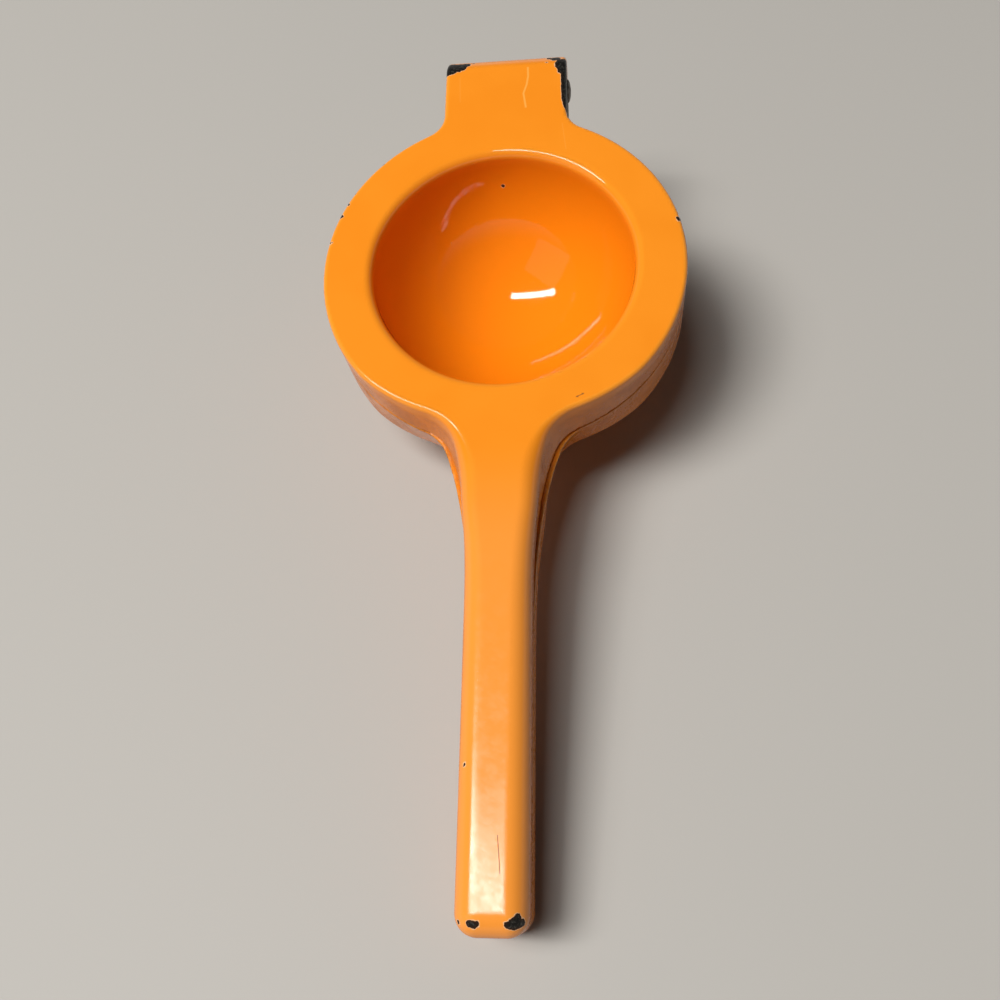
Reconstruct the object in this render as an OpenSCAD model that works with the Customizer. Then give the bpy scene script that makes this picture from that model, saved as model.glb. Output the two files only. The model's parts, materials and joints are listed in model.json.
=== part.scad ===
// Hinged citrus squeezer, closed, lying on its juice bowl and on the end of its lower handle.
// Two lever castings share one plan outline. The press half carries a hollow dome, a tab and
// two ears; the bowl half carries a pierced juice bowl and a knuckle. A headed pin joins them.
// Lengths are millimetres. The castings are drawn level and closed: the parting plane is z = 0,
// the middle of the bowl is at x = y = 0, the handles run to -Y and the hinge lies at +Y.

/* [Rims] */
// Outer diameter of both rims
rim_d = 97.6; // [92:0.4:104]
// Height of the press half's rim, from parting plane to flat top
press_rim_h = 10.4; // [9.6:0.2:13]
// Height of the bowl half's rim, from parting plane to underside
bowl_rim_h = 12; // [10:0.5:15]
// Width of the bowl half's rim, from its mouth to the outside
rim_wall = 6.8; // [6:0.2:8]
// Rounding of the rims' outer edges
rim_round = 1.2; // [0.8:0.2:3]
// Gap between the closed rims
parting_gap = 0.4; // [0.3:0.1:0.8]
// Broken edge on both sides of the parting line
parting_chamfer = 0.5; // [0.2:0.1:1]

/* [Press dome] */
// Gap between dome and bowl at the mouth
side_gap = 4; // [3:0.5:6]
// Gap between dome and bowl at the bottom, where the peel is crushed
peel_gap = 7; // [5:0.5:10]
// Wall of the hollow dome
dome_wall = 4; // [3:0.5:5]
// Rounding of the lip round the hollow
lip_round = 2.3; // [1:0.1:3]

/* [Juice bowl] */
// Wall of the bowl
bowl_wall = 3.4; // [2.6:0.2:4.4]
// Diameter of a juice hole
hole_d = 4.6; // [3:0.2:6]
// Rings of juice holes round the middle one
hole_rings = 2; // [1:1:3]
// Step from one ring of juice holes to the next
hole_pitch = 8.6; // [7:0.2:10]
// Broken edge round the bowl's mouth
mouth_chamfer = 0.8; // [0.4:0.1:1.5]

/* [Handles] */
// Length of a handle, from the rim's outside to its end
handle_l = 116.5; // [90:0.5:150]
// Width of a handle
handle_w = 16.4; // [15:0.2:20]
// Rounding of a handle's long outer edges
handle_round = 4.6; // [2:0.2:4.8]
// Rounding of a handle's end, seen from above
end_corner = 5; // [5:0.2:7]
// Gap between the closed handles
handle_gap = 2.4; // [1:0.2:4]
// Width of the press half's neck where it meets the fillets to the rim
neck_w = 27; // [24:0.5:30]
// Width of the bowl half's neck there
bowl_neck_w = 30; // [24:0.5:33]
// Radius of the fillets between neck and rim
neck_fillet = 12; // [8:0.5:16]
// Angle at which the neck narrows away from the rim
neck_flare = 20; // [16:1:24]
// Width of the channel cored into a handle's inner face
channel_w = 7; // [5:0.5:8]
// Depth of that channel
channel_depth = 5; // [2:0.5:5.5]
// Metal left between the channel and the handle's end
channel_end = 9; // [7:0.5:15]

/* [Hinge] */
// Distance from the rim's outside to the pin's axis
hinge_offset = 15.9; // [15:0.1:20]
// Width of the tab, over both ears
tab_w = 35; // [32:0.5:38]
// Radius of the rounded end of tab and ears
ear_r = 9.4; // [9.4:0.1:10]
// Depth of the pin's axis below the flat top
pin_depth = 9.2; // [8.8:0.1:9.3]
// Thickness of one ear
ear_t = 7.5; // [6:0.5:9]
// Radius of the knuckle
knuckle_r = 5.6; // [5:0.1:5.8]
// Clearance round the knuckle and on each side of it
knuckle_gap = 0.4; // [0.3:0.05:0.6]
// Radius of the fillets between tab and rim
tab_fillet = 7.5; // [4:0.5:9]
// Rounding of the tab's long top edges
tab_round = 1.2; // [0.4:0.1:1.5]
// Height of the tab's rear lip above the pin's axis, as an angle
lip_angle = 30; // [20:1:40]
// Diameter of the pin
pin_d = 5; // [4:0.5:6]
// Running clearance of the pin in the knuckle, on the radius
pin_play = 0.05; // [0.03:0.01:0.1]
// Diameter of a pin head
head_d = 6.6; // [6.4:0.2:8]
// Height of a pin head
head_h = 1.1; // [0.8:0.1:2]

/* [Hidden] */
$fn = 96;
ENAMEL = "darkorange";
STEEL = "slategray";
corner_steps = 5;     // facets round a small corner or a rounded edge
fillet_steps = 8;     // facets round a fillet in plan
rim_steps = 26;       // facets round one side of a rim
rim_step = 5;         // degrees left free of points beside a fillet
rim_back = 88;        // degrees to the last point on a rim without a tab
past = 1;             // how far a cutting shape runs past what it cuts
crossing = 0.05;      // lets a rounded cut cross a flat face instead of grazing it

rim_r = rim_d / 2;
mouth_r = rim_r - rim_wall;
handle_end_y = -(rim_r + handle_l);

// The dome is a sphere about the middle of the flat top, sized to clear the mouth.
dome_r = norm([mouth_r - side_gap, press_rim_h]);
hollow_r = dome_r - dome_wall;

// The bowl is a sphere through its mouth and its lowest point.
bowl_depth = dome_r - press_rim_h + peel_gap;
bowl_r = (pow(mouth_r, 2) + pow(bowl_depth, 2)) / (2 * bowl_depth);
bowl_z = bowl_r - bowl_depth;
shell_r = bowl_r + bowl_wall;

// Tab: a fillet that touches the rim and the tab's side.
tab_x = tab_w / 2 + tab_fillet;
tab_y = sqrt(pow(rim_r + tab_fillet, 2) - pow(tab_x, 2));
tab_root_y = rim_r * tab_y / (rim_r + tab_fillet);

// Hinge
pin_y = rim_r + hinge_offset;
pin_z = press_rim_h - pin_depth;
knuckle_w = tab_w - 2 * ear_t;
web_y = rim_r + 2;    // the knuckle's web rises from here

// The squeezer rests on the bowl's sphere and on the rounded end of the lower handle.
foot_y = handle_end_y + handle_round;
foot_z = handle_round - bowl_rim_h;
rest_tilt = asin((shell_r - handle_round) / norm([foot_y, bowl_z - foot_z]))
          - atan2(bowl_z - foot_z, -foot_y);
rest_z = shell_r - bowl_z * cos(rest_tilt);
front_y = foot_y * cos(rest_tilt) - (press_rim_h - handle_round) * sin(rest_tilt) - handle_round;
rear_y = pin_y * cos(rest_tilt) - pin_z * sin(rest_tilt) + ear_r;
rest_y = -(front_y + rear_y) / 2;

function mix(a, b, t) = a + (b - a) * t;
function ease(t) = t <= 0 ? 0 : t >= 1 ? 1 : t * t * (3 - 2 * t);

// Neck of a width: a fillet that touches the rim, then a flare that narrows to the handle.
// [fillet's centre x, y, where the flare meets the straight handle, length of the flare]
function neck(w) = let (
    x = w / 2 + neck_fillet * cos(neck_flare),
    y = -sqrt(pow(rim_r + neck_fillet, 2) - pow(x, 2)),
    run = 3 * (w - handle_w) / 2 / tan(neck_flare)
) [x, y, y + neck_fillet * sin(neck_flare) - run, run];

// The lever being drawn sets $neck_w, the width of its neck, and $has_tab.
// Along it, from handle (0) to rim (1), and from rim (0) to tab (1)
function to_rim(y) = let (n = neck($neck_w)) ease((y - n[2]) / n[3]);
function to_tab(y) = $has_tab ? ease((y - tab_root_y) / (tab_y - tab_root_y)) : 0;

function edge_round(y) =
    mix(mix(handle_round, rim_round, to_rim(y)), tab_round, to_tab(y));
function edge_chamfer(y) = mix(parting_chamfer, 0, to_tab(y));
function inner_face(y) = mix(handle_gap, parting_gap, to_rim(y)) / 2;

// An outline point is [x, y, outward normal x, outward normal y].
// side is 1 where the metal lies inside the arc and -1 where it lies outside.
function arc(x, y, r, from, to, steps, side = 1) =
    [for (i = [0 : steps]) let (a = mix(from, to, i / steps))
        [x + r * cos(a), y + r * sin(a), side * cos(a), side * sin(a)]];

// The handle's side at t = 0 (straight handle) to t = 1 (neck fillet)
function flare_side(t) = let (n = neck($neck_w), slope = tan(neck_flare) * t * t)
    [mix(handle_w, $neck_w, pow(t, 3)) / 2, n[2] + t * n[3],
     1 / norm([1, slope]), -slope / norm([1, slope])];

// Right half of the plan outline, from the handle's end to the tab's end or the rim's back
function half_outline() = let (
    n = neck($neck_w),
    neck_end = atan2(n[1], n[0]),
    tab_start = atan2(tab_y, tab_x)
) concat(
    arc(handle_w / 2 - end_corner, handle_end_y + end_corner, end_corner, -90, 0, corner_steps),
    [for (i = [0 : fillet_steps - 1]) flare_side(i / fillet_steps)],
    arc(n[0], n[1], neck_fillet, 180 - neck_flare, 180 + neck_end, fillet_steps, -1),
    arc(0, 0, rim_r, neck_end + rim_step, $has_tab ? tab_start - rim_step : rim_back, rim_steps),
    $has_tab
        ? concat(arc(tab_x, tab_y, tab_fillet, 180 + tab_start, 180, fillet_steps, -1),
                 [[tab_w / 2, pin_y + ear_r, 1, 0]])
        : []
);

// One level of the lever's side: 0 and 1 are the broken inner edge, the rest the outer rounding
function level(outline, height, k) = [for (p = outline)
    let (r = edge_round(p[1]), c = edge_chamfer(p[1]),
         a = 90 * (k - 2) / corner_steps,
         inset = k == 0 ? c : k == 1 ? 0 : r * (1 - cos(a)),
         z = k < 2 ? inner_face(p[1]) + k * c : height - r * (1 - sin(a)))
    [p[0] - p[2] * inset, p[1] - p[3] * inset, z]];

// Solid lever: rim, neck and handle in one skin, its outer edges rounded by an amount that
// changes along the lever. The inner face is flat at the rim and steps back along the handle.
module lever(height, $neck_w, $has_tab) {
    half = half_outline();
    outline = concat(half, [for (i = [len(half) - 1 : -1 : 0])
        [-half[i][0], half[i][1], -half[i][2], half[i][3]]]);
    n = len(outline);
    levels = corner_steps + 3;
    walls = [for (k = [0 : levels - 2], i = [0 : n - 1])
        let (a = k * n + i, b = k * n + (i + 1) % n) each [[a, a + n, b + n], [a, b + n, b]]];
    inner = [for (i = [0 : len(half) - 2]) [i, i + 1, n - 2 - i, n - 1 - i]];
    outer = [for (strip = inner) [for (i = [3 : -1 : 0]) (levels - 1) * n + strip[i]]];
    polyhedron([for (k = [0 : levels - 1]) each level(outline, height, k)],
               concat(walls, inner, outer), convexity = 6);
}

// A channel cored into the inner face of a handle, with round ends
module channel() {
    r = channel_w / 2;
    front = handle_end_y + channel_end + r;
    back = neck(neck_w)[1];
    h = handle_gap / 2 + channel_depth + past;
    for (y = [front, back]) translate([0, y, -past]) cylinder(r = r, h = h);
    translate([-r, front, -past]) cube([channel_w, back - front, h]);
}

// A profile drawn in [Y, Z] about the pin's axis, extruded along X between two places
module across_hinge(from, to) {
    translate([from, pin_y, pin_z]) rotate([90, 0, 90]) linear_extrude(to - from) children();
}

module pin_bore(r) {
    translate([-tab_w / 2 - past, pin_y, pin_z]) rotate([0, 90, 0])
        cylinder(r = r, h = tab_w + 2 * past);
}

// Where the line from p touches a circle about the origin: side 1 is above, -1 is below
function touch(p, r, side) = let (a = atan2(p[1], p[0]) - side * acos(r / norm(p)))
    [r * cos(a), r * sin(a)];

// Corner where the web and the ears leave the rims, seen from the pin's axis
function web_corner(z) = [web_y - pin_y, z - pin_z];

// What the knuckle and its web need: open below and behind, closed by the tab above
module knuckle_space() {
    r = knuckle_r + knuckle_gap;
    far = 2 * ear_r;
    corner = web_corner(parting_gap / 2);
    across_hinge(-knuckle_w / 2, knuckle_w / 2) {
        circle(r);
        polygon([[0, 0], far * [cos(lip_angle), sin(lip_angle)], [far, -far], [corner[0], -far],
                 corner, touch(corner, r, 1)]);
    }
}

// The ears as square blocks under the tab, beside the knuckle
module ear_blocks() {
    corner = web_corner(parting_gap / 2);
    for (from = [-tab_w / 2, tab_w / 2 - ear_t]) across_hinge(from, from + ear_t)
        polygon([corner, [ear_r, corner[1]], [ear_r, -ear_r], [-ear_r, -ear_r]]);
}

// Cuts tab and ears to one round end, with a flat from the ears' lowest part up to the rim
module ear_trim() {
    corner = web_corner(parting_gap / 2);
    far = ear_r + past;
    across_hinge(-tab_w / 2 - past, tab_w / 2 + past) difference() {
        polygon([[0, 0], [0, pin_depth + past], [far, pin_depth + past], [far, -far],
                 [corner[0] - past, -far], corner, touch(corner, ear_r, -1)]);
        circle(ear_r);
    }
}

// The lower part of a ball about [0, 0, z], cut off at the height top
module cap_below(r, z, top) {
    difference() {
        translate([0, 0, z]) sphere(r);
        translate([-r - past, -r - past, top]) cube(2 * (r + past));
    }
}

// The dome's inside and the rounded lip round it
module hollow() {
    translate([0, 0, press_rim_h]) {
        sphere(hollow_r);
        rotate_extrude() difference() {
            translate([hollow_r - past, -lip_round + crossing])
                square([lip_round + past, lip_round + past]);
            translate([hollow_r + lip_round, -lip_round + crossing]) circle(lip_round);
        }
    }
}

module press_half() {
    color(ENAMEL) at_rest() difference() {
        union() {
            lever(press_rim_h, neck_w, true);
            ear_blocks();
            cap_below(dome_r, press_rim_h, press_rim_h / 2);
        }
        ear_trim();
        knuckle_space();
        hollow();
        channel();
        pin_bore(pin_d / 2);
    }
}

// The knuckle stands on a web that grows out of the bowl half's rim
module knuckle() {
    top = web_corner(-parting_gap / 2);
    bottom = web_corner(rim_round - bowl_rim_h);
    root = mouth_r - pin_y;
    across_hinge(knuckle_gap - knuckle_w / 2, knuckle_w / 2 - knuckle_gap) {
        circle(knuckle_r);
        polygon([touch(top, knuckle_r, 1), top, [root, top[1]], [root, bottom[1]], bottom,
                 touch(bottom, knuckle_r, -1)]);
    }
}

// One middle hole and rings of six, twelve and so on round it, all drawn the same way as the mould
module juice_holes() {
    low = bowl_z - shell_r - past;
    for (ring = [0 : hole_rings], i = [0 : max(6 * ring, 1) - 1])
        rotate(60 / max(ring, 1) * i) translate([ring * hole_pitch, 0, low])
            cylinder(d = hole_d, h = -bowl_rim_h - low);
}

module bowl_half() {
    color(ENAMEL) at_rest() difference() {
        union() {
            mirror([0, 0, 1]) lever(bowl_rim_h, bowl_neck_w, false);
            knuckle();
            cap_below(shell_r, bowl_z, -bowl_rim_h / 2);
        }
        translate([0, 0, bowl_z]) sphere(bowl_r);
        translate([0, 0, -parting_gap / 2 - mouth_chamfer])
            cylinder(r1 = mouth_r, r2 = mouth_r + mouth_chamfer + past, h = mouth_chamfer + past);
        mirror([0, 0, 1]) channel();
        pin_bore(pin_d / 2 + pin_play);
        juice_holes();
    }
}

// Round-headed pin, its shank filling the ears and its heads seated on their outer faces
module hinge_pin() {
    shank_z = -tab_w / 2;
    ball_r = (pow(head_h, 2) + pow(head_d / 2, 2)) / (2 * head_h);
    color(STEEL) at_rest() translate([0, pin_y, pin_z]) rotate([0, 90, 0]) {
        translate([0, 0, shank_z]) cylinder(d = pin_d, h = tab_w);
        for (end = [0, 1]) mirror([0, 0, end]) difference() {
            translate([0, 0, tab_w / 2 + head_h - ball_r]) sphere(ball_r);
            translate([-ball_r, -ball_r, tab_w / 2 - 2 * ball_r])
                cube(2 * ball_r);
        }
    }
}

// Lays the closed castings on the bowl and the lower handle's end, over the middle of z = 0
module at_rest() {
    translate([0, rest_y, rest_z]) rotate([rest_tilt, 0, 0]) children();
}

bowl_half();
press_half();
hinge_pin();
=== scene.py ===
"""Dresses the hinged citrus squeezer: two enamelled castings on one riveted pin, lying closed
on a pale counter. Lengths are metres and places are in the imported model's frame; what is worked
out on the closed, level squeezer says so."""
import json
from math import acos, asin, atan2, cos, degrees, hypot, pi, radians, sin, tan

import bpy
import numpy as np
from mathutils import Matrix, Vector


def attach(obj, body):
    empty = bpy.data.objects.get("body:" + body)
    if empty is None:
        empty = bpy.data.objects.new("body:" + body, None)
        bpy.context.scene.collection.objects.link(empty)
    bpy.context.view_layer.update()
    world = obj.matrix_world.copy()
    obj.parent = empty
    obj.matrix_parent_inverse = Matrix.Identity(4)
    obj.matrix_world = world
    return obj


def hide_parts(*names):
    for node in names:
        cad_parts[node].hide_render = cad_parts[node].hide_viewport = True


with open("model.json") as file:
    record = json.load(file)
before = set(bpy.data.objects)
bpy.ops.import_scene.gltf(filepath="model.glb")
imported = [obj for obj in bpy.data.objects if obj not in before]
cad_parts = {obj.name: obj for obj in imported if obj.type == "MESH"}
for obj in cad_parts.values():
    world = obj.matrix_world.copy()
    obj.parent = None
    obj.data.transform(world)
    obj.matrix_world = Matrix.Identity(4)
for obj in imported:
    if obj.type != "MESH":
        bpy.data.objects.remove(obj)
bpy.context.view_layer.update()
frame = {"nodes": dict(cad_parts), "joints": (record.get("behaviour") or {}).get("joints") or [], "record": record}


# ---- Press casting ------------------------------------------------------------------------
# The upper lever: rim, hollow pressing dome, handle, tab and two ears in one aluminium casting,
# dipped in orange enamel, which rounds every edge that it runs over.

MM = 0.001
RIM_RADIUS = 48.8 * MM
PRESS_RIM_HEIGHT = 10.4 * MM
RIM_ROUND = 1.2 * MM
PARTING_GAP = 0.4 * MM
PARTING_ROUND = 0.5 * MM
HANDLE_LENGTH = 116.5 * MM
HANDLE_WIDTH = 16.4 * MM
HANDLE_ROUND = 5.2 * MM
NECK_ROUND = 4.0 * MM
SHOULDER_DRAFT = radians(14)          # where the neck meets the rim, the side leans in,
SHOULDER_Y = -51 * MM                 # most at this place along the lever
SHOULDER_REACH = 20 * MM
HANDLE_LIFT = 0.75 * MM               # how far the end of the upper handle turns up
LIFT_LENGTH = 60 * MM
HANDLE_GAP = 2.4 * MM
END_CORNER = 5 * MM
PRESS_NECK = 27 * MM
NECK_FILLET = 12 * MM
NECK_FLARE = radians(20)
CHANNEL_RADIUS = 3.5 * MM
CHANNEL_DEPTH = 5 * MM
CHANNEL_END = 9 * MM
CHANNEL_ROUND = 1 * MM
TAB_WIDTH = 35 * MM
TAB_FILLET = 7.5 * MM
TAB_ROUND = 1.2 * MM
PIN_Y = 64.7 * MM
PIN_Z = 1.2 * MM
EAR_RADIUS = 9.4 * MM
EAR_THICKNESS = 7.5 * MM
KNUCKLE_RADIUS = 5.6 * MM
KNUCKLE_GAP = 0.4 * MM
ROOM_ROUND = 0.3 * MM
WEB_Y = 50.8 * MM
LIP_ANGLE = radians(30)
SHANK_RADIUS = 2.5 * MM
BORE_ROUND = 0.2 * MM
MOUTH_RADIUS = 42 * MM
SIDE_GAP = 4 * MM                     # between dome and bowl at the bowl's mouth
DOME_WALL = 4 * MM
DOME_RADIUS = hypot(MOUTH_RADIUS - SIDE_GAP, PRESS_RIM_HEIGHT)
HOLLOW_RADIUS = DOME_RADIUS - DOME_WALL
LIP_ROUND = 2.3 * MM
ENAMEL_EDGE = 0.5 * MM
DOME_ROOT = 1.5 * MM
BURIED_ROUND = 1 * MM                 # on edges that end up inside the metal
GRAIN = 0.73 * MM                     # size of a face of the castings' skins

HANDLE_END = -(RIM_RADIUS + HANDLE_LENGTH)
TAB_X = TAB_WIDTH / 2 + TAB_FILLET      # middle of the fillet between tab and rim
TAB_Y = ((RIM_RADIUS + TAB_FILLET) ** 2 - TAB_X ** 2) ** 0.5
TAB_ROOT_Y = RIM_RADIUS * TAB_Y / (RIM_RADIUS + TAB_FILLET)

# The squeezer was drawn level and lies tilted: the flat top's normal and the pin say how.
flat_top = frame["record"]["mounts"][0]
hinge = frame["joints"][0]
TILT = asin(-flat_top["axis"][1])
LEVEL_AXES = np.array([[1, 0, 0], [0, cos(TILT), -sin(TILT)], [0, sin(TILT), cos(TILT)]])
LEVEL_ORIGIN = np.array(hinge["pos_m"]) - LEVEL_AXES @ [0, PIN_Y, PIN_Z]
TOP_LEVEL = float(np.dot(flat_top["axis"], flat_top["pos_m"]))


def lying(points):
    """Places on the level squeezer, turned and moved to where it lies."""
    return np.asarray(points) @ LEVEL_AXES.T + LEVEL_ORIGIN


def level(points):
    """The reverse of lying."""
    return (np.asarray(points) - LEVEL_ORIGIN) @ LEVEL_AXES


def ease(t):
    """From 0 to 1, slow at both ends."""
    t = np.clip(t, 0, 1)
    return t * t * (3 - 2 * t)


def mix(a, b, t):
    """From a to b as t goes from 0 to 1."""
    return a + (b - a) * t


# A form is a distance: negative in the metal, positive outside, its skin where it is zero.
def both(a, b, radius):
    """What lies in both forms, the edge between them rounded."""
    rounded = np.hypot(np.maximum(a + radius, 0), np.maximum(b + radius, 0))
    return rounded + np.minimum(np.maximum(a, b), -radius)


def either(a, b, radius):
    """Two forms as one, with a fillet between them."""
    return -both(-a, -b, radius)


def without(a, b, radius):
    """The first form less the second, the cut's edge rounded."""
    return both(a, -b, radius)


def ball(x, y, z, middle, radius):
    """A ball on the rim's axis, its middle at that height."""
    return np.sqrt(x * x + y * y + (z - middle) ** 2) - radius


def bearing(x, y):
    """Direction in degrees, 0 to 360."""
    return np.degrees(np.arctan2(y, x)) % 360


def neck_of(width):
    """Fillet's centre x and y, where the flare meets the straight handle, and its length."""
    x = width / 2 + NECK_FILLET * cos(NECK_FLARE)
    y = -((RIM_RADIUS + NECK_FILLET) ** 2 - x ** 2) ** 0.5
    run = 3 * (width - HANDLE_WIDTH) / 2 / tan(NECK_FLARE)
    return x, y, y + NECK_FILLET * sin(NECK_FLARE) - run, run


def plan(x, y, neck_width, has_tab):
    """A lever seen from above: handle, flared neck, fillets, rim and tab."""
    x = np.abs(x)
    fillet_x, fillet_y, flare_start, flare_run = neck_of(neck_width)
    along = np.maximum((y - flare_start) / flare_run, 0)
    half_width = mix(HANDLE_WIDTH, neck_width, along ** 3) / 2
    side = (x - half_width) / np.hypot(1, tan(NECK_FLARE) * along ** 2)
    handle = both(side, HANDLE_END - y, END_CORNER)
    fillet = NECK_FILLET - np.hypot(x - fillet_x, y - fillet_y)
    rim = np.hypot(x, y) - RIM_RADIUS
    turn = bearing(x - fillet_x, y - fillet_y)
    rim_turn = 180 + degrees(atan2(fillet_y, fillet_x))
    form = np.where(turn > 180 - degrees(NECK_FLARE), handle,
                    np.where(turn > rim_turn, fillet, rim))
    if has_tab:
        turn = bearing(x - TAB_X, y - TAB_Y)
        fillet = TAB_FILLET - np.hypot(x - TAB_X, y - TAB_Y)
        rim_turn = 180 + degrees(atan2(TAB_Y, TAB_X))
        form = np.where(turn < 180, x - TAB_WIDTH / 2, np.where(turn < rim_turn, fillet, form))
    return form


def lever(x, y, z, rim_height, neck_width, has_tab):
    """A solid lever above its inner face. Its rounding changes from handle to tab, and its side
    leans in at the shoulder."""
    flare_start, flare_run = neck_of(neck_width)[2:]
    to_rim = ease((y - flare_start) / flare_run)
    past_neck = ease((y - SHOULDER_Y) / SHOULDER_REACH + 0.5)
    draft = tan(SHOULDER_DRAFT) * (1 - ease(np.abs(y - SHOULDER_Y) / SHOULDER_REACH))
    to_tab = ease((y - TAB_ROOT_Y) / (TAB_Y - TAB_ROOT_Y)) * has_tab
    rounding = mix(mix(HANDLE_ROUND, NECK_ROUND, to_rim), RIM_ROUND, past_neck)
    rounding = mix(rounding, TAB_ROUND, to_tab)
    inner_face = mix(HANDLE_GAP, PARTING_GAP, to_rim) / 2
    top = z - rim_height
    if has_tab:
        to_end = np.clip((HANDLE_END + LIFT_LENGTH - y) / LIFT_LENGTH, 0, 2)
        top = top - HANDLE_LIFT * to_end ** 2
        tab_end = np.hypot(y - PIN_Y, z - PIN_Z) - EAR_RADIUS
        top = np.maximum(top, np.where(y > PIN_Y, tab_end, -EAR_RADIUS))
    leaning = plan(x, y, neck_width, has_tab) + draft * np.maximum(z - inner_face, 0)
    return both(both(leaning, top, rounding), inner_face - z, PARTING_ROUND)


def channel(x, y, z):
    """The round-ended channel cored into a handle's inner face."""
    front = HANDLE_END + CHANNEL_END + CHANNEL_RADIUS
    back = neck_of(PRESS_NECK)[1]
    wall = np.hypot(x, y - np.clip(y, front, back)) - CHANNEL_RADIUS
    return both(wall, z - HANDLE_GAP / 2 - CHANNEL_DEPTH, CHANNEL_ROUND)


def tangent(u, v, radius, side):
    """Direction of the point where a line from (u, v) touches a circle about the pin."""
    return atan2(v, u) - side * acos(radius / hypot(u, v))


def along_normal(u, v, direction, radius):
    """Height above the line that touches the circle in that direction."""
    return u * cos(direction) + v * sin(direction) - radius


def ear_profile(u, v):
    """An ear from the side: round about the pin, with a flat that runs up to the rim."""
    corner = (WEB_Y - PIN_Y, PARTING_GAP / 2 - PIN_Z)
    under = tangent(*corner, EAR_RADIUS, -1)
    turn = bearing(u, v)
    round_end = np.hypot(u, v) - EAR_RADIUS
    flat = along_normal(u, v, under, EAR_RADIUS)
    return np.where(turn < 90, round_end,
                    np.where(turn < 180, -EAR_RADIUS,
                             np.where(turn < degrees(under) % 360, flat, round_end)))


def knuckle_room(x, u, v):
    """The space between the ears, closed above by the tab's covered part."""
    radius = KNUCKLE_RADIUS + KNUCKLE_GAP
    corner = (WEB_Y - PIN_Y, PARTING_GAP / 2 - PIN_Z)
    over = tangent(*corner, radius, 1) % (2 * pi)
    front = np.maximum(along_normal(u, v, over, radius), corner[0] - u)
    behind = v * cos(LIP_ANGLE) - u * sin(LIP_ANGLE)
    turn = bearing(u, v)
    swept = np.where((turn > degrees(over + LIP_ANGLE) / 2) & (turn < 270), front, behind)
    profile = np.minimum(np.hypot(u, v) - radius, swept)
    return both(profile, np.abs(x) - TAB_WIDTH / 2 + EAR_THICKNESS, ROOM_ROUND)


def press_form(x, y, z):
    """The whole upper casting."""
    u, v = y - PIN_Y, z - PIN_Z
    upper = lever(x, y, z, PRESS_RIM_HEIGHT, PRESS_NECK, True)
    ear = np.abs(np.abs(x) - (TAB_WIDTH - EAR_THICKNESS) / 2) - EAR_THICKNESS / 2
    ears = both(np.maximum(ear_profile(u, v), z - PRESS_RIM_HEIGHT), ear, TAB_ROUND)
    ears = np.maximum(ears, WEB_Y - y)
    dome = ball(x, y, z, PRESS_RIM_HEIGHT, DOME_RADIUS)
    dome = both(dome, z - PRESS_RIM_HEIGHT / 2, BURIED_ROUND)
    form = np.minimum(either(upper, dome, DOME_ROOT), ears)
    form = without(form, knuckle_room(x, u, v), ENAMEL_EDGE)
    form = without(form, ball(x, y, z, PRESS_RIM_HEIGHT, HOLLOW_RADIUS), LIP_ROUND)
    form = without(form, channel(x, y, z), ENAMEL_EDGE)
    return without(form, np.hypot(u, v) - SHANK_RADIUS, BORE_ROUND)


def slopes(form, points, reach):
    """Which way the form's distance grows, by central differences."""
    grown = []
    for axis in range(3):
        step = np.zeros(3)
        step[axis] = reach
        grown.append((form(*(points + step).T) - form(*(points - step).T)) / (2 * reach))
    return np.stack(grown, 1)


def normals_of(form, points, reach):
    """The slopes as directions one long."""
    normals = slopes(form, points, reach)
    return normals / np.linalg.norm(normals, axis=1)[:, None]


def settle(form, points, rounds):
    """Moves points onto the form's skin, each along its own slope."""
    longest_step = 0.5 * MM
    least_square = 0.1
    for _ in range(rounds):
        slope = slopes(form, points, reach=0.01 * MM)
        square = np.maximum((slope ** 2).sum(1), least_square)
        step = np.clip(form(*points.T) / square, -longest_step, longest_step)
        points = points - slope * step[:, None]
    return points


def spread(form, points, edges, rounds):
    """Evens out the points' spacing: each goes half way to the middle of its neighbours."""
    links = np.bincount(edges.ravel(), minlength=len(points))
    for _ in range(rounds):
        total = np.stack([np.bincount(edges[:, 0], points[edges[:, 1], axis], len(points))
                          + np.bincount(edges[:, 1], points[edges[:, 0], axis], len(points))
                          for axis in range(3)], 1)
        pull = total / links[:, None] - points
        normals = normals_of(form, points, reach=0.05 * MM)
        pull -= normals * (pull * normals).sum(1)[:, None]
        points = settle(form, points + 0.5 * pull, rounds=2)
    return points


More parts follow.
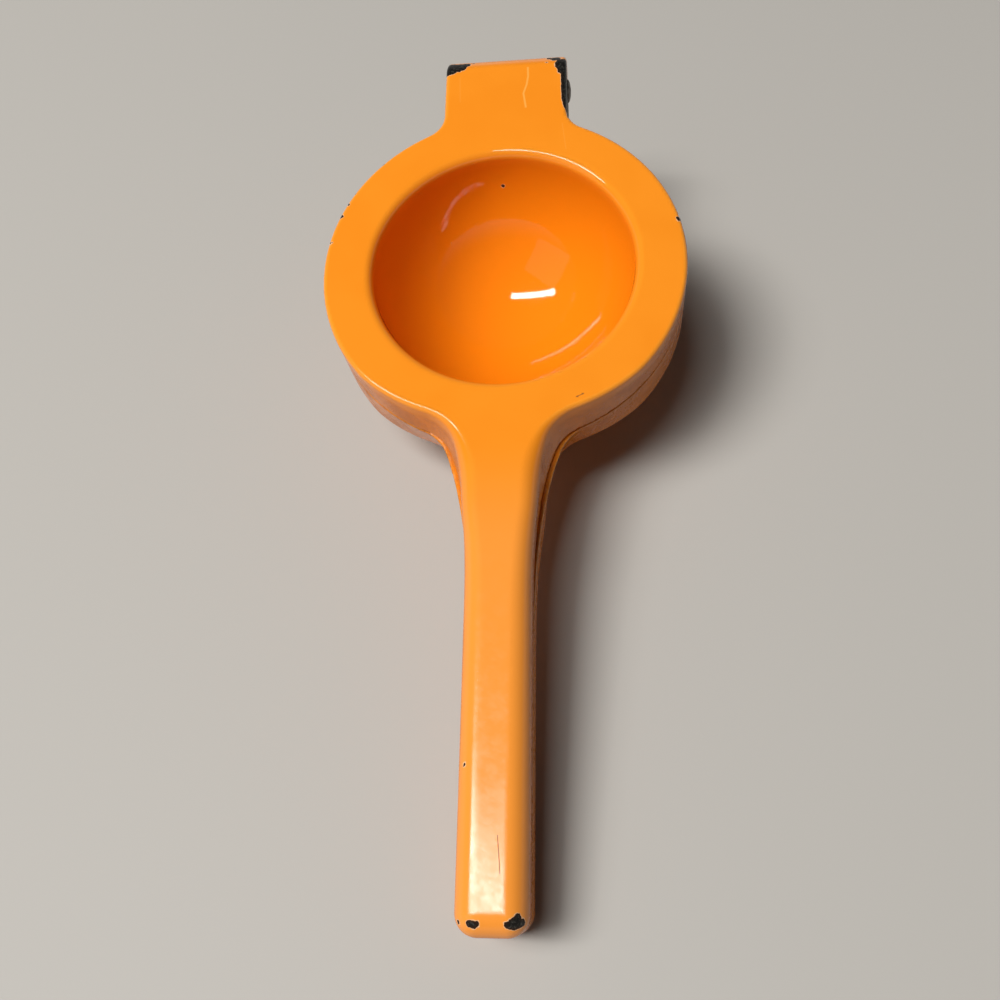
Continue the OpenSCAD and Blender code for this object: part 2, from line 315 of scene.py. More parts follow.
def cast_skin(name, node, form):
    """The casting's smooth skin: an even net round the node's solid, drawn onto the form. Its
    attribute edge says where the skin bends outwards, from 0 on a flat to 1 on a tight edge."""
    blank = bpy.data.objects.new(name + "_blank", frame["nodes"][node].data.copy())
    bpy.context.scene.collection.objects.link(blank)
    weld = blank.modifiers.new("weld", "WELD")
    weld.merge_threshold = 0.001 * MM
    net = blank.modifiers.new("net", "REMESH")
    net.mode = "VOXEL"
    net.voxel_size = GRAIN
    done = blank.evaluated_get(bpy.context.evaluated_depsgraph_get())
    mesh = bpy.data.meshes.new_from_object(done)
    bpy.data.objects.remove(blank)
    mesh.name = name
    places = np.empty(len(mesh.vertices) * 3)
    mesh.vertices.foreach_get("co", places)
    edges = np.empty(len(mesh.edges) * 2, int)
    mesh.edges.foreach_get("vertices", edges)
    points = settle(form, level(places.reshape(-1, 3)), rounds=8)
    points = spread(form, points, edges.reshape(-1, 2), rounds=4)
    mesh.vertices.foreach_set("co", lying(points).ravel())
    normals = normals_of(form, points, reach=0.03 * MM)
    reach = 0.4 * MM
    bend = sum(form(*(points + side * reach * np.eye(3)[axis]).T)
               for side in (-1, 1) for axis in range(3)) - 6 * form(*points.T)
    edge = mesh.attributes.new("edge", "FLOAT", "POINT")
    edge.data.foreach_set("value", np.clip(bend / reach ** 2 * MM, 0, 1))
    mesh.shade_smooth()
    mesh.normals_split_custom_set_from_vertices((normals @ LEVEL_AXES.T).tolist())
    mesh.update()
    casting = bpy.data.objects.new(name, mesh)
    bpy.context.scene.collection.objects.link(casting)
    return casting


class Value:
    """A number that changes over a surface. Sums with it add the Math nodes they need."""

    def __init__(self, finish, socket):
        self.finish = finish
        self.socket = socket

    def math(self, operation, *others):
        return self.finish.add("ShaderNodeMath", {"operation": operation},
                               dict(enumerate((self, *others))))

    def __add__(self, other):
        return self.math("ADD", other)

    __radd__ = __add__

    def __sub__(self, other):
        return self.math("SUBTRACT", other)

    def __rsub__(self, other):
        return self.math("MULTIPLY", -1).math("ADD", other)

    def __mul__(self, other):
        return self.math("MULTIPLY", other)

    __rmul__ = __mul__

    def __truediv__(self, other):
        return self.math("DIVIDE", other)

    def least(self, other):
        return self.math("MINIMUM", other)

    def most(self, other):
        return self.math("MAXIMUM", other)

    def fade(self, start, end):
        """0 at start and 1 at end, easing between; start may be the higher."""
        return self.finish.add("ShaderNodeMapRange", {"interpolation_type": "SMOOTHSTEP"}, {
            "Value": self, "From Min": min(start, end), "From Max": max(start, end),
            "To Min": float(start > end), "To Max": float(start < end)})


class Finish:
    """The nodes of a material, or of the room about the squeezer."""

    def __init__(self, owner, shader="Principled BSDF"):
        owner.use_nodes = True
        self.owner = owner
        self.tree = owner.node_tree
        self.shader = self.tree.nodes[shader]
        self.place = self.add("ShaderNodeTexCoord", output="Object")
        self.x, self.y, self.z = (self.add("ShaderNodeSeparateXYZ", {}, {0: self.place}, axis)
                                  for axis in "XYZ")

    def add(self, kind, settings=None, sockets=None, output=0):
        """A node of that kind: its settings first, a ramp's stops among them, then its sockets."""
        node = self.tree.nodes.new(kind)
        settings = dict(settings or {})
        stops = settings.pop("stops", ())
        for name, value in settings.items():
            setattr(node, name, value)
        elements = node.color_ramp.elements if stops else ()
        while len(elements) < len(stops):
            elements.new(0.5)
        for element, (position, colour) in zip(elements, stops):
            element.position = position
            element.color = (*colour, 1)
        for name, value in (sockets or {}).items():
            self.plug(node.inputs[name], value)
        return Value(self, node.outputs[output])

    def plug(self, socket, value):
        """Links a Value to the socket, or writes a plain number or colour there."""
        if isinstance(value, Value):
            self.tree.links.new(socket, value.socket)
        else:
            socket.default_value = value

    def set(self, **sockets):
        """Fills the shader's own sockets."""
        for name, value in sockets.items():
            self.plug(self.shader.inputs[name.replace("_", " ")], value)

    def noise(self, size, detail=2.0, roughness=0.5, output=0):
        """Clouds of about that size."""
        return self.add("ShaderNodeTexNoise", {}, {
            "Vector": self.place, "Scale": 1 / size, "Detail": detail, "Roughness": roughness},
            output)

    def blend(self, factor, below, above):
        """Colour below, with colour above laid over it."""
        node = self.tree.nodes.new("ShaderNodeMix")
        node.data_type = "RGBA"
        for socket, value in zip((node.inputs[0], node.inputs[6], node.inputs[7]),
                                 (factor, below, above)):
            if isinstance(value, tuple) and len(value) == 3:
                value = (*value, 1)
            self.plug(socket, value)
        return Value(self, node.outputs[2])

    def shaken(self, size, reach):
        """Places on the surface, each shifted a little, for ragged outlines."""
        cloud = self.noise(size, 3.0, 0.6, output=1)
        shift = self.add("ShaderNodeVectorMath", {"operation": "MULTIPLY_ADD"},
                         {0: cloud, 1: (reach, reach, reach), 2: self.place})
        return self.add("ShaderNodeVectorMath", {"operation": "SUBTRACT"},
                        {0: shift, 1: (reach / 2, reach / 2, reach / 2)})

    def off_line(self, points):
        """Distance from a line that runs lengthwise over the top, through points x, y."""
        ends = [float(lying((x * MM, y * MM, PRESS_RIM_HEIGHT))[1]) for x, y in points]
        length = ends[-1] - ends[0]
        low = min(x for x, y in points)
        span = max(x for x, y in points) - low + 0.01     # never quite nothing
        stops = [((end - ends[0]) / length, ((x - low) / span,) * 3)
                 for end, (x, y) in zip(ends, points)]
        done = (self.y - ends[0]) / length
        line = self.add("ShaderNodeValToRGB", {"stops": stops}, {"Fac": done})
        across = (self.x - line * (span * MM) - low * MM).math("ABSOLUTE")
        return across.most(((done - 0.5).math("ABSOLUTE") - 0.5) * length)

    def depth_in(self, spots, at):
        """Height above the nearest of some round spots, negative inside them."""
        nearest = None
        for x, y, z, radius in spots:
            middle = tuple(lying((x * MM, y * MM, z * MM)))
            away = self.add("ShaderNodeVectorMath", {"operation": "DISTANCE"},
                            {0: at, 1: middle}, "Value") - radius * MM
            nearest = away if nearest is None else nearest.least(away)
        return nearest


# Chips in the enamel, as round spots that run together: x, y, z on the level squeezer and the
# radius, in millimetres. The aluminium shows dark in them.
PRESS_CHIPS = (
    # the tab's two corners
    (-16.6, 67.6, 9.7, 3.0), (-13.6, 68.0, 9.9, 2.2), (-11.7, 69.0, 9.6, 1.3),
    (-9.6, 69.7, 9.2, 0.4), (16.9, 66.2, 9.8, 2.7), (16.7, 64.2, 10.0, 1.7),
    (14.3, 69.3, 9.4, 1.5), (12.4, 69.9, 9.0, 0.8), (11.8, 67.4, 10.4, 0.3),
    # the handle's end, and one on its side
    (-4.2, -162.3, 10.2, 0.8), (-3.5, -162.4, 10.2, 0.95), (-2.8, -162.2, 10.2, 0.7),
    (3.7, -162.3, 10.3, 0.75), (4.6, -162.35, 10.3, 1.05), (5.6, -162.1, 10.0, 1.4),
    (5.9, -160.9, 10.1, 0.75), (6.9, -162.2, 9.2, 1.0), (5.3, -163.2, 9.9, 0.6),
    (-7.2, -162.3, 9.0, 0.6), (-6.6, -129.9, 9.4, 0.5),
    # the rim's outer edge, and one in the hollow
    (46.9, 11.1, 10.0, 0.75), (-34.2, 34.6, 10.0, 0.5), (-43.4, 21.3, 9.9, 0.45),
    (-44.9, 17.3, 9.9, 0.6), (-47.3, 8.8, 9.8, 0.55), (-41.7, 24.9, 9.9, 0.45),
    (-1.45, 33.5, -0.9, 0.5),
)
# Painted shade down the tab's right side, which faces away from the light, drawn as bare dark metal: points x, y
# on the top.
SHADED_TAB_SIDE = ((19.6, 49.0), (18.55, 51.0), (18.15, 53.0), (17.9, 56.0), (17.9, 64.0))
SHADED_TAB_SIDE_HALF = 1.95 * MM
# Marks rubbed along the top: how strong, half the width in millimetres, and points x, y.
PALE_MARKS = (
    (0.80, 0.40, ((5.9, 51.5), (5.2, 56.4), (6.1, 59.5), (6.5, 62.5), (6.4, 65.6))),
    (0.30, 0.14, ((-13.0, 54.7), (-13.3, 63.5))),
    (0.30, 0.14, ((17.2, 35.9), (16.2, 44.9))),
)
DARK_MARKS = (
    (0.85, 0.11, ((2.00, -152.6), (1.75, -149.5), (1.35, -144.8))),
    (0.75, 0.45, ((19.5, -40.4), (20.9, -39.9))),
    (0.35, 0.07, ((0.2, -141.8), (2.0, -141.2))),
)

# Where one state of the enamel, or of the shade and sheen painted into it, fades into the next:
# along the lever, below the flat top, and out from the rim's middle.
# along the lever, where the handle turns paler: partly wear, partly a painted sheen
HANDLED_SHEEN_Y = (-6 * MM, -36 * MM)
RUBBED_Y = (5 * MM, -70 * MM)
# below the flat top, where the painted shade deepens
SHADED_DEPTH = (-1.5 * MM, -5 * MM)
SIDE_DEPTH = (-2 * MM, -4.5 * MM)
MARKED_DEPTH = (-0.9 * MM, -0.5 * MM)
SIDE_RING = (44 * MM, 47 * MM)
HOLLOW_RING = (43 * MM, 47 * MM)


def enamel(name, chips, shaded_tab_side=(), pale_marks=(), dark_marks=()):
    """Glossy orange enamel, flowed slightly uneven, with chips down to the dark aluminium, its colour holding
    painted shade, a painted sheen and painted edge highlights.
    """
    orange = (0.935, 0.284, 0.015)
    deep_orange = (0.88, 0.245, 0.009)
    # painted shade: darker, redder orange in the hollow and down the sides
    shaded_orange = (0.85, 0.229, 0.005)
    # paler handle: partly wear from handling, partly a painted sheen of the ceiling's reflection
    handled_sheen_orange = (0.94, 0.315, 0.040)
    # paler over edges: partly thin enamel, partly a painted edge highlight
    thin_highlit_orange = (0.97, 0.38, 0.04)
    pale_orange = (1.0, 0.43, 0.08)
    burnt_orange = (0.12, 0.03, 0.008)
    # painted shade and painted reflection of a dark counter on the rim's side, partly grime
    grimy_shaded_orange = (0.38, 0.095, 0.010)
    broken_orange = (0.95, 0.62, 0.36)
    # metal near a chip's edge, darker than in its middle
    rim_dark_metal = (0.050, 0.018, 0.008)
    dark_metal = (0.016, 0.014, 0.012)
    bright_metal = (0.13, 0.12, 0.10)
    coat = Finish(bpy.data.materials.new(name))
    edge = coat.add("ShaderNodeAttribute", {"attribute_name": "edge"}, output="Fac")
    depth = coat.add("ShaderNodeVectorMath", {"operation": "DOT_PRODUCT"},
                     {0: coat.place, 1: flat_top["axis"]}, "Value") - TOP_LEVEL
    off_middle = coat.add("ShaderNodeVectorMath", {"operation": "DISTANCE"},
                          {0: coat.place, 1: tuple(lying((0, 0, 0)))}, "Value")

    # The coat's colour: cloudy where it flowed; paler on the handle, from wear and a painted sheen; darker below
    # the top as painted shade; painted shade and reflection, partly grime, round the rim's side; paler over sharp
    # edges, from thin enamel and a painted highlight.
    cloudy, grimy_and_shaded, thin_and_highlit = 0.35, 0.6, 0.35
    flow = coat.noise(22 * MM, 2.0)
    colour = coat.blend(flow.fade(0.38, 0.66) * cloudy, orange, deep_orange)
    # paler towards the handle's end: handling wear and a painted sheen
    colour = coat.blend(coat.y.fade(*HANDLED_SHEEN_Y), colour, handled_sheen_orange)
    # painted shade below the flat top, in the hollow and down the sides
    colour = coat.blend(depth.fade(*SHADED_DEPTH), colour, shaded_orange)
    side = off_middle.fade(*SIDE_RING) * depth.fade(*SIDE_DEPTH)
    # mottled painted shade and reflection round the rim's side, partly grime
    grime_and_shade = coat.noise(9 * MM, 6.0, 0.75).fade(0.30, 0.74) * side
    colour = coat.blend(grime_and_shade * grimy_and_shaded, colour, grimy_shaded_orange)
    # paler over sharp edges: thin enamel and a painted highlight
    colour = coat.blend(edge.fade(0.25, 0.9) * thin_and_highlit, colour, thin_highlit_orange)

    # Chips, the pale broken edge of the coat round them, and nicks where edges are worn.
    broken, rim_darkening, metallic = 0.8, 0.8, 0.6
    away = coat.depth_in(chips, coat.shaken(size=1.1 * MM, reach=1.1 * MM))
    # the painted shade down the tab's right side, drawn like a chip to bare dark metal
    if shaded_tab_side:
        waver = 0.5 * MM
        wavering = (coat.noise(1.5 * MM, 3.0) - 0.5) * waver
        away = away.least(coat.off_line(shaded_tab_side) - SHADED_TAB_SIDE_HALF + wavering)
    chip = away.fade(0.05 * MM, -0.05 * MM)
    broken_edge = away.fade(0.24 * MM, 0.06 * MM) * (1 - chip)
    worn = (edge - 0.55).most(0) * (coat.noise(2.2 * MM, 3.0, 0.7) - 0.66).most(0)
    uncovered = chip.most(worn.fade(0.012, 0.02))
    metal_grain = coat.noise(0.6 * MM, 4.0, 0.7)
    metal = coat.blend(metal_grain.fade(0.48, 0.72), dark_metal, bright_metal)
    # darker towards each chip's edge
    metal = coat.blend(away.fade(-0.55 * MM, -0.1 * MM) * rim_darkening, metal, rim_dark_metal)
    colour = coat.blend(broken_edge * broken, colour, broken_orange)

    # Marks on the flat top, the dark ones scratched in.
    on_top = depth.fade(*MARKED_DEPTH)
    scratched = 0.0
    for marks, tint in ((pale_marks, pale_orange), (dark_marks, burnt_orange)):
        for strength, half_width, points in marks:
            half_width = half_width * MM
            line = coat.off_line(points).fade(half_width, half_width / 3) * on_top * strength
            colour = coat.blend(line, colour, tint)
            if marks is dark_marks:
                scratched = line + scratched
    colour = coat.blend(uncovered, colour, metal)

    # Relief in millimetres: the skin's unevenness, fine and broad, its lumps round the rim's
    # side, and chips as deep as the coat with the casting's grain in them.
    fine, broad, lumps, coat_depth, casting_grain = 0.010, 0.10, 0.18, 0.22, 0.10
    skin = coat.noise(1.8 * MM, 2.0) * fine + coat.noise(14 * MM, 1.0) * broad
    skin = skin + coat.noise(5 * MM, 4.0) * side * lumps
    dropped = chip * -coat_depth + coat.noise(1.3 * MM, 2.0) * chip * casting_grain
    bump = coat.add("ShaderNodeBump", {}, {
        "Strength": 1.0, "Distance": MM, "Height": skin + dropped})

    # Roughness: least in the hollow, more on the rim, and more along the rubbed handle.
    in_hollow, on_rim, on_handle, where_rubbed = 0.05, 0.09, 0.02, 0.06
    # rougher where the mottled painted wall shade, partly grime, lies
    in_chips, in_grime_and_shade, in_scratches = 0.33, 0.25, 0.5
    rubbed = coat.noise(3 * MM, 5.0, 0.7).fade(0.40, 0.64)
    roughness = in_hollow + off_middle.fade(*HOLLOW_RING) * on_rim
    roughness = roughness + coat.y.fade(*RUBBED_Y) * (on_handle + rubbed * where_rubbed)
    roughness = roughness + uncovered * in_chips + grime_and_shade * in_grime_and_shade + scratched * in_scratches
    coat.set(Base_Color=colour, Roughness=roughness, Metallic=uncovered * metallic,
             Normal=bump, IOR=1.5)
    return coat.owner


press_casting = cast_skin("press_casting", "press_half", press_form)
press_casting.data.materials.clear()
press_casting.data.materials.append(
    # the press also carries the painted shade down the tab's right side
    enamel("orange_enamel_press", PRESS_CHIPS, SHADED_TAB_SIDE, PALE_MARKS, DARK_MARKS))
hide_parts("press_half")
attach(press_casting, "upper")


# ---- Bowl casting -------------------------------------------------------------------------
# The lower lever: rim, pierced juice bowl, handle, and a knuckle on a web behind the rim. It is
# cast and enamelled like the upper one; the juice holes are drilled along the mould's axis.

BOWL_RIM_HEIGHT = 12 * MM
BOWL_NECK = 30 * MM
PEEL_GAP = 7 * MM
BOWL_WALL = 3.4 * MM
MOUTH_ROUND = 0.8 * MM
BOWL_ROOT = 2.5 * MM
WEB_ROOT = 1.2 * MM
HOLE_ROUND = 0.6 * MM
HOLE_RADIUS = 2.3 * MM
HOLE_RINGS = 2
HOLE_PITCH = 8.6 * MM
KNUCKLE_PLAY = 0.05 * MM
FOOT_WALL = 1 * MM                    # between the bowl's mouth and the web's foot

BOWL_DEPTH = DOME_RADIUS - PRESS_RIM_HEIGHT + PEEL_GAP
BOWL_RADIUS = (MOUTH_RADIUS ** 2 + BOWL_DEPTH ** 2) / (2 * BOWL_DEPTH)
BOWL_MIDDLE = BOWL_RADIUS - BOWL_DEPTH


def juice_holes(x, y):
    """One hole in the middle, and rings of six and twelve round it."""
    nearest = np.hypot(x, y)
    for ring in range(1, HOLE_RINGS + 1):
        for hole in range(6 * ring):
            turn = hole * pi / 3 / ring
            out = ring * HOLE_PITCH
            away = np.hypot(x - out * cos(turn), y - out * sin(turn))
            nearest = np.minimum(nearest, away)
    return nearest - HOLE_RADIUS


def knuckle(x, u, v):
    """The knuckle and the web that it stands on, between the ears."""
    top = (WEB_Y - PIN_Y, -PARTING_GAP / 2 - PIN_Z)
    bottom = (WEB_Y - PIN_Y, RIM_ROUND - BOWL_RIM_HEIGHT - PIN_Z)
    above = tangent(*top, KNUCKLE_RADIUS, 1)
    below = tangent(*bottom, KNUCKLE_RADIUS, -1)
    turn = bearing(u, v)
    in_front = (turn > degrees(above) % 360) & (turn < degrees(below) % 360)
    sides = np.maximum(along_normal(u, v, above, KNUCKLE_RADIUS),
                       along_normal(u, v, below, KNUCKLE_RADIUS))
    profile = np.where(in_front, sides, np.hypot(u, v) - KNUCKLE_RADIUS)
    profile = np.maximum(profile, top[0] - u)
    foot = np.maximum(np.maximum(v - top[1], bottom[1] - v),
                      np.maximum(u - top[0], MOUTH_RADIUS + FOOT_WALL - PIN_Y - u))
    profile = np.minimum(profile, foot)
    return both(profile, np.abs(x) - TAB_WIDTH / 2 + EAR_THICKNESS + KNUCKLE_GAP, ENAMEL_EDGE)


def bowl_form(x, y, z):
    """The whole lower casting."""
    u, v = y - PIN_Y, z - PIN_Z
    lower = lever(x, y, -z, BOWL_RIM_HEIGHT, BOWL_NECK, False)
    shell = ball(x, y, z, BOWL_MIDDLE, BOWL_RADIUS + BOWL_WALL)
    shell = both(shell, z + BOWL_RIM_HEIGHT / 2, BURIED_ROUND)
    form = either(lower, shell, BOWL_ROOT)
    form = either(form, knuckle(x, u, v), WEB_ROOT)
    form = np.where(u < WEB_Y - PIN_Y, np.maximum(form, z + PARTING_GAP / 2), form)
    form = without(form, ball(x, y, z, BOWL_MIDDLE, BOWL_RADIUS), MOUTH_ROUND)
    form = without(form, channel(x, y, -z), ENAMEL_EDGE)
    form = without(form, np.hypot(u, v) - SHANK_RADIUS - KNUCKLE_PLAY, BORE_ROUND)
    holes = np.maximum(juice_holes(x, y), z + BOWL_RIM_HEIGHT)
    return without(form, holes, HOLE_ROUND)


# Chips as on the upper casting: the handle's end, the neck and the knuckle's edges.
BOWL_CHIPS = (
    (8.3, -163.2, -3.2, 1.3), (8.0, -164.6, -4.6, 1.0), (16.0, -50.0, -0.6, 0.5),
    (9.4, 64.0, -3.0, 0.9), (-9.4, 62.0, 5.0, 0.8),
)

bowl_casting = cast_skin("bowl_casting", "bowl_half", bowl_form)
bowl_casting.data.materials.clear()
bowl_casting.data.materials.append(enamel("orange_enamel_bowl", BOWL_CHIPS))
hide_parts("bowl_half")
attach(bowl_casting, "lower")


# ---- Hinge pin ----------------------------------------------------------------------------
# A plain steel rivet pressed through both ears, its two heads peened down to low uneven domes.
# The knuckle turns on its shank.

PIN_SIZES = {
    "Shank Diameter": 2 * SHANK_RADIUS, "Shank Length": TAB_WIDTH,
    "Head Diameter": 6.6 * MM, "Head Height": 1.0 * MM,
    "Peening": 0.10 * MM, "Seed": 7, "Place": tuple(hinge["pos_m"]),
}
BLOW_SIZE = 1.6 * MM
BLOW_MIDDLE = 0.75                    # blows below this sink the head, blows above it raise it
HEAD_SEAT = 0.05 * MM                 # the head's rim below this height stays as it is
SHARP_BEND = radians(35)
ROUND_SEGMENTS = 64
DOME_RINGS = 48


class Recipe:
    """A Geometry Nodes tree with named inputs."""

    def __init__(self, name, inputs):
        self.tree = bpy.data.node_groups.new(name, "GeometryNodeTree")
        face = self.tree.interface
        self.inputs = {}
        for label, kind in inputs.items():
            socket = face.new_socket(label, in_out="INPUT", socket_type="NodeSocket" + kind)
            self.inputs[label] = socket.identifier
        face.new_socket("Geometry", in_out="OUTPUT", socket_type="NodeSocketGeometry")
        self.entry = self.tree.nodes.new("NodeGroupInput")
        self.exit = self.tree.nodes.new("NodeGroupOutput")

    def given(self, label):
        """One of the tree's named inputs."""
        return self.entry.outputs[label]

    def add(self, kind, settings=None, sockets=None, output=0):
        """A node of that kind, its settings first, then its sockets; a list links several."""
        node = self.tree.nodes.new(kind)
        for name, value in (settings or {}).items():
            setattr(node, name, value)
        for name, value in (sockets or {}).items():
            for part in value if isinstance(value, list) else [value]:
                if isinstance(part, bpy.types.NodeSocket):
                    self.tree.links.new(node.inputs[name], part)
                else:
                    node.inputs[name].default_value = part
        return node.outputs[output]

    def math(self, operation, *values):
        return self.add("ShaderNodeMath", {"operation": operation}, dict(enumerate(values)))

    def vector(self, x, y, z):
        return self.add("ShaderNodeCombineXYZ", {}, {"X": x, "Y": y, "Z": z})

    def make(self, name, geometry, values):
        """Runs the tree once with these values and keeps what it makes as a plain mesh."""
        self.tree.links.new(self.exit.inputs[0], geometry)
        thing = bpy.data.objects.new(name, bpy.data.meshes.new(name))
        bpy.context.scene.collection.objects.link(thing)
        modifier = thing.modifiers.new("recipe", "NODES")
        modifier.node_group = self.tree
        for label, value in values.items():
            modifier[self.inputs[label]] = value
        made = thing.evaluated_get(bpy.context.evaluated_depsgraph_get())
        mesh = bpy.data.meshes.new_from_object(made)
        mesh.name = name
        thing.modifiers.remove(modifier)
        thing.data = mesh
        return thing


def rivet_recipe():
    """A shank along x with a low hammered dome on each end."""
    recipe = Recipe("rivet", {"Shank Diameter": "Float", "Shank Length": "Float",
                              "Head Diameter": "Float", "Head Height": "Float", "Peening": "Float",
                              "Seed": "Int", "Place": "Vector", "Material": "Material"})
    given = recipe.given
    dome = recipe.add("GeometryNodeMeshUVSphere", {}, {
        "Segments": ROUND_SEGMENTS, "Rings": DOME_RINGS, "Radius": 1.0})
    place = recipe.add("GeometryNodeInputPosition")
    height = recipe.add("ShaderNodeSeparateXYZ", {}, {0: place}, output=2)
    sunk = recipe.math("MINIMUM", height, 0.0)
    flat = recipe.add("GeometryNodeSetPosition", {}, {
        "Geometry": dome, "Offset": recipe.vector(0.0, 0.0, recipe.math("MULTIPLY", sunk, -1.0))})
    head_radius = recipe.math("DIVIDE", given("Head Diameter"), 2.0)
    head = recipe.add("GeometryNodeTransform", {}, {
        "Geometry": flat, "Scale": recipe.vector(head_radius, head_radius, given("Head Height"))})
    blows = recipe.add("ShaderNodeTexNoise", {"noise_dimensions": "4D"}, {
        "Vector": place, "W": given("Seed"), "Scale": 1 / BLOW_SIZE, "Detail": 1.0})
    depth = recipe.math("SUBTRACT", blows, BLOW_MIDDLE)
    depth = recipe.math("MULTIPLY", depth, given("Peening"))
    above = recipe.math("GREATER_THAN", height, HEAD_SEAT)
    head = recipe.add("GeometryNodeSetPosition", {}, {
        "Geometry": head, "Offset": recipe.vector(0.0, 0.0, recipe.math("MULTIPLY", depth, above))})
    half = recipe.math("DIVIDE", given("Shank Length"), 2.0)
    ends = recipe.add("GeometryNodeMeshLine", {}, {
        "Count": 2, "Start Location": recipe.vector(recipe.math("MULTIPLY", half, -1.0), 0.0, 0.0),
        "Offset": recipe.vector(given("Shank Length"), 0.0, 0.0)})
    turn = recipe.math("MULTIPLY_ADD", recipe.add("GeometryNodeInputIndex"), pi, -pi / 2)
    heads = recipe.add("GeometryNodeInstanceOnPoints", {}, {
        "Points": ends, "Instance": head, "Rotation": recipe.vector(0.0, turn, 0.0)})
    shank = recipe.add("GeometryNodeMeshCylinder", {}, {
        "Vertices": ROUND_SEGMENTS, "Radius": recipe.math("DIVIDE", given("Shank Diameter"), 2.0),
        "Depth": given("Shank Length")})
    shank = recipe.add("GeometryNodeTransform", {}, {
        "Geometry": shank, "Rotation": (0.0, pi / 2, 0.0)})
    joined = recipe.add("GeometryNodeJoinGeometry", {}, {"Geometry": [heads, shank]})
    whole = recipe.add("GeometryNodeRealizeInstances", {}, {"Geometry": joined})
    smooth = recipe.add("GeometryNodeSetShadeSmooth", {}, {"Geometry": whole})
    bend = recipe.add("GeometryNodeInputMeshEdgeAngle")
    sharp = recipe.math("GREATER_THAN", bend, SHARP_BEND)
    smooth = recipe.add("GeometryNodeSetShadeSmooth", {"domain": "EDGE"}, {
        "Geometry": smooth, "Selection": sharp, "Shade Smooth": False})
    seated = recipe.add("GeometryNodeTransform", {}, {
        "Geometry": smooth, "Translation": given("Place")})
    finished = recipe.add("GeometryNodeSetMaterial", {}, {
        "Geometry": seated, "Material": given("Material")})
    return recipe, finished


def dark_steel():
    """Plain steel gone dull, and brown in patches."""
    dull = (0.17, 0.155, 0.14)
    brown = (0.075, 0.055, 0.042)
    pitting = 0.03                    # relief in millimetres
    polish, more_in_stains = 0.42, 0.2
    steel = Finish(bpy.data.materials.new("dark_steel"))
    stain = steel.noise(1.8 * MM, 4.0, 0.65)
    colour = steel.blend(stain.fade(0.35, 0.65), dull, brown)
    grain = steel.noise(0.35 * MM, 3.0, 0.6)
    bump = steel.add("ShaderNodeBump", {}, {
        "Strength": 1.0, "Distance": MM, "Height": grain * pitting})
    steel.set(Base_Color=colour, Roughness=polish + stain * more_in_stains, Metallic=1.0,
              Normal=bump)
    return steel.owner


rivet, rivet_shape = rivet_recipe()
pin_rivet = rivet.make("pin_rivet", rivet_shape, {**PIN_SIZES, "Material": dark_steel()})
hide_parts("hinge_pin")
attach(pin_rivet, "upper")


# ---- Counter, light and camera ------------------------------------------------------------
# A pale counter in soft light: a long strip overhead, whose reflection lies on the handle's end
# and in the hollow, a faint fill from the left, and a soft lamp that the enamel doesn't mirror.

COUNTER_HALF = 0.9
COUNTER_COLOUR = (0.48, 0.455, 0.415, 1)
COUNTER_ROUGHNESS = 0.6
COUNTER_CORNERS = ((-1, -1), (1, -1), (1, 1), (-1, 1))
LIT_PLACE = (0, 0, 30 * MM)
ROOM_COLOUR = (0.80, 0.80, 0.80, 1)
ROOM_LIGHT = 0.04                     # how strongly the room lights the squeezer,
ROOM_SEEN = 0.7                       # and how much more strongly it is seen
MIRRORED_UP_TO = 0.45                 # sine of the height up to which a gloss mirrors the room
CAMERA_PLACE = (0.02542, -0.14588, 0.24454)
CAMERA_AIM = (-0.00403, -0.00038, 0)
CAMERA_ROLL = radians(-11.04)
CAMERA_LENS = 35.92
CAMERA_SENSOR = 36
CAMERA_NEAR = 0.01


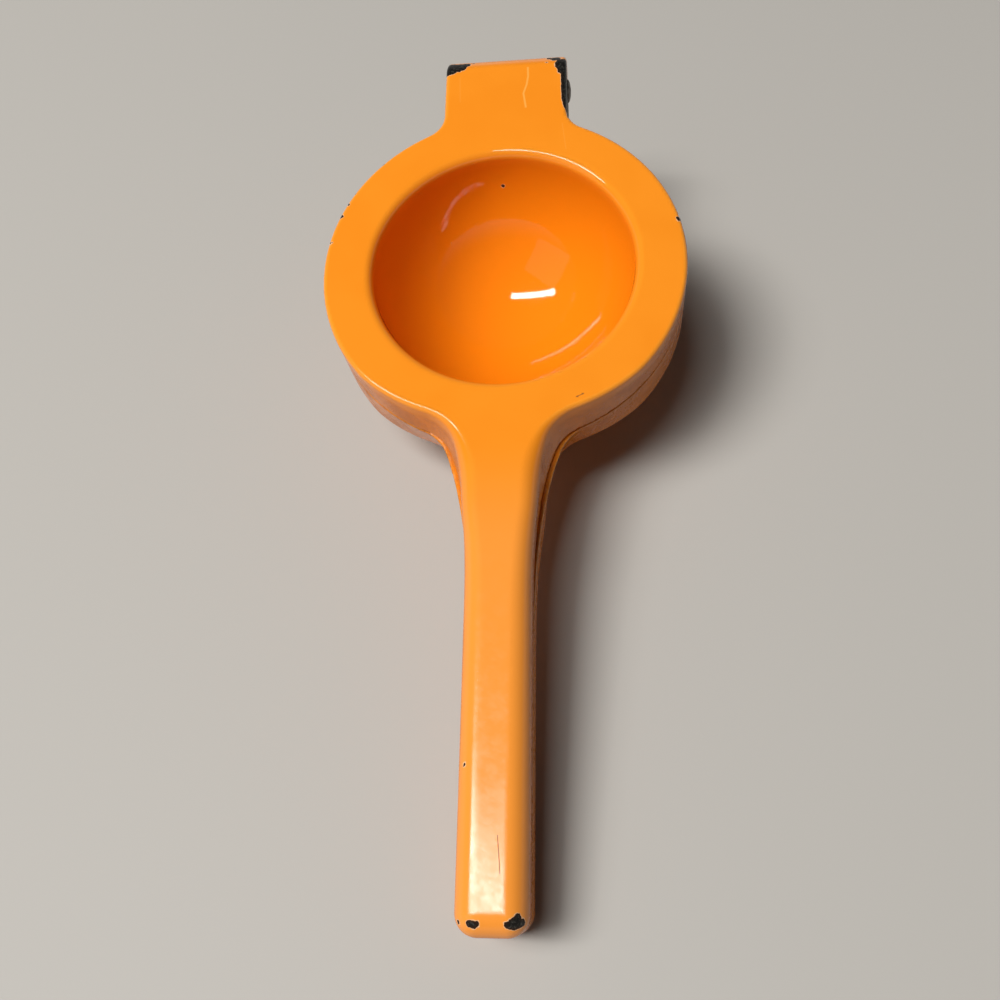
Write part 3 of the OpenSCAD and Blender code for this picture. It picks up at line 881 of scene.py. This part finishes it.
def lamp(name, place, along, length, width, power):
    """A lit rectangle that faces the squeezer, its length lying in that direction."""
    data = bpy.data.lights.new(name, "AREA")
    data.shape = "RECTANGLE"
    data.size = length
    data.size_y = width
    data.energy = power
    light = bpy.data.objects.new(name, data)
    back = (Vector(place) - Vector(LIT_PLACE)).normalized()
    side = back.cross(Vector(along)).normalized()
    facing = Matrix((side.cross(back), side, back)).transposed().to_4x4()
    light.matrix_world = Matrix.Translation(place) @ facing
    bpy.context.scene.collection.objects.link(light)
    return light


counter_mesh = bpy.data.meshes.new("counter")
counter_mesh.from_pydata([(x * COUNTER_HALF, y * COUNTER_HALF, 0) for x, y in COUNTER_CORNERS],
                         [], [(0, 1, 2, 3)])
counter = bpy.data.objects.new("counter", counter_mesh)
bpy.context.scene.collection.objects.link(counter)
stone = Finish(bpy.data.materials.new("pale_counter"))
stone.set(Base_Color=COUNTER_COLOUR, Roughness=COUNTER_ROUGHNESS)
counter_mesh.materials.append(stone.owner)

lamp("ceiling_strip", place=(-0.975, -0.43, 2.4), along=(-1, 0.107, 0),
     length=1.86, width=0.25, power=39)
lamp("left_fill", place=(-0.97, -0.78, 1.0), along=(1, -1, 0),
     length=1.0, width=0.9, power=1.1)
soft_fill = lamp("soft_fill", place=(-1.05, -0.40, 2.2), along=(-1, 0, 0),
                 length=0.9, width=0.9, power=38)
soft_fill.visible_glossy = False

room = Finish(bpy.data.worlds.new("room"), "Background")
looked_at, mirrored, looked_through = (room.add("ShaderNodeLightPath", output=ray) for ray in (
    "Is Camera Ray", "Is Glossy Ray", "Is Transmission Ray"))
seen = looked_at.most(mirrored.most(looked_through) * room.z.fade(MIRRORED_UP_TO, 0.0))
room.set(Color=ROOM_COLOUR, Strength=ROOM_LIGHT + seen * ROOM_SEEN)
bpy.context.scene.world = room.owner

camera_data = bpy.data.cameras.new("camera")
camera_data.lens = CAMERA_LENS
camera_data.sensor_width = CAMERA_SENSOR
camera_data.clip_start = CAMERA_NEAR
camera = bpy.data.objects.new("camera", camera_data)
look = (Vector(CAMERA_AIM) - Vector(CAMERA_PLACE)).to_track_quat("-Z", "Y").to_matrix().to_4x4()
camera.matrix_world = Matrix.Translation(CAMERA_PLACE) @ look @ Matrix.Rotation(CAMERA_ROLL, 4, "Z")
bpy.context.scene.collection.objects.link(camera)
bpy.context.scene.camera = camera
bpy.context.scene.view_settings.view_transform = "Standard"
